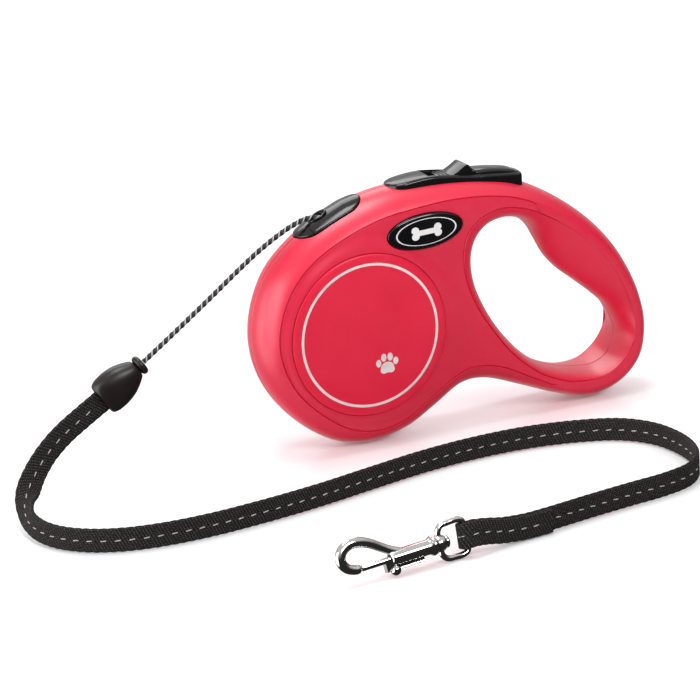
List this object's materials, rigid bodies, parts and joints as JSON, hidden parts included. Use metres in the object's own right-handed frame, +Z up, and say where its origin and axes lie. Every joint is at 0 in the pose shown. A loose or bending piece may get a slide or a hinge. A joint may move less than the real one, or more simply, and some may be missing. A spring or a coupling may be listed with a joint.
{
  "type": "retractable leash",
  "caption": "Retractable leash with a moulded two-part housing, grip opening, thumb brake and lock, side discs, wound cord, stopper, webbing strap and swivel snap hook",
  "frame": {"origin": "on the floor under the middle of the housing, measured without the free cord and strap", "axes": "+X along the housing from the drum casing to the grip, +Y across it away from the side disc that faces the hook, +Z up"},
  "size_m": [0.265, 0.15, 0.101],
  "materials": {
    "shell_red": "fine satin moulding grain",
    "disc_red": "fine satin moulding grain",
    "badge_black": "polished dome",
    "trim_black": "semi-gloss moulding",
    "button_black": "semi-gloss moulding",
    "screw_steel": "zinc-plated",
    "pawl_white": "natural acetal",
    "spring_steel": "bright spring steel",
    "drum_grey": "moulded",
    "cord_black": "braided, with pale reflective yarn",
    "axle_steel": "turned",
    "stopper_brown": "satin moulding",
    "strap_black": "woven webbing with pale reflective stitches",
    "hook_chrome": "plated die casting"
  },
  "bodies": {
    "housing": {"housing_front": "shell_red", "housing_rear": "shell_red", "side_disc_front": "disc_red", "side_disc_rear": "disc_red", "badge_front": "badge_black", "badge_rear": "badge_black", "housing_screw_1": "screw_steel", "housing_screw_2": "screw_steel", "housing_screw_3": "screw_steel", "housing_screw_4": "screw_steel", "housing_screw_5": "screw_steel", "cord_outlet": "trim_black", "brake_cover": "trim_black", "brake_spring": "spring_steel", "axle": "axle_steel", "cord": "cord_black", "stopper_collar": "stopper_brown", "stopper_body": "stopper_brown", "strap": "strap_black", "swivel_eye": "hook_chrome"},
    "drum": {"drum": "drum_grey", "drum_flange": "drum_grey", "spring_cover": "drum_grey", "mainspring": "spring_steel", "cord_winding": "cord_black"},
    "brake": {"brake_button": "button_black", "brake_pawl": "pawl_white"},
    "lock": {"lock_slider": "button_black"},
    "hook": {"hook_body": "hook_chrome", "bolt_spring": "spring_steel"},
    "bolt": {"hook_bolt": "hook_chrome"}
  },
  "joints": [
    {"name": "drum_spin", "type": "hinge", "parent": "housing", "child": "drum", "pos_m": [-0.0392, 0, 0.0454], "axis": [0, 1, 0], "continuous": true},
    {"name": "brake_press", "type": "slide", "parent": "housing", "child": "brake", "axis": [0, 0, -1], "range_m": [0, 0.003], "stiffness_N_per_m": 800, "deforming": ["brake_spring"]},
    {"name": "lock_slide", "type": "slide", "parent": "housing", "child": "lock", "axis": [-1, 0, 0], "range_m": [0, 0.004]},
    {"name": "hook_swivel", "type": "hinge", "parent": "housing", "child": "hook", "pos_m": [-0.0696, -0.1302, 0.0069], "axis": [-0.9936, -0.1044, -0.0436], "continuous": true},
    {"name": "bolt_slide", "type": "slide", "parent": "hook", "child": "bolt", "axis": [0.9936, 0.1044, 0.0436], "range_m": [0, 0.0065], "stiffness_N_per_m": 500, "deforming": ["bolt_spring"]}
  ]
}
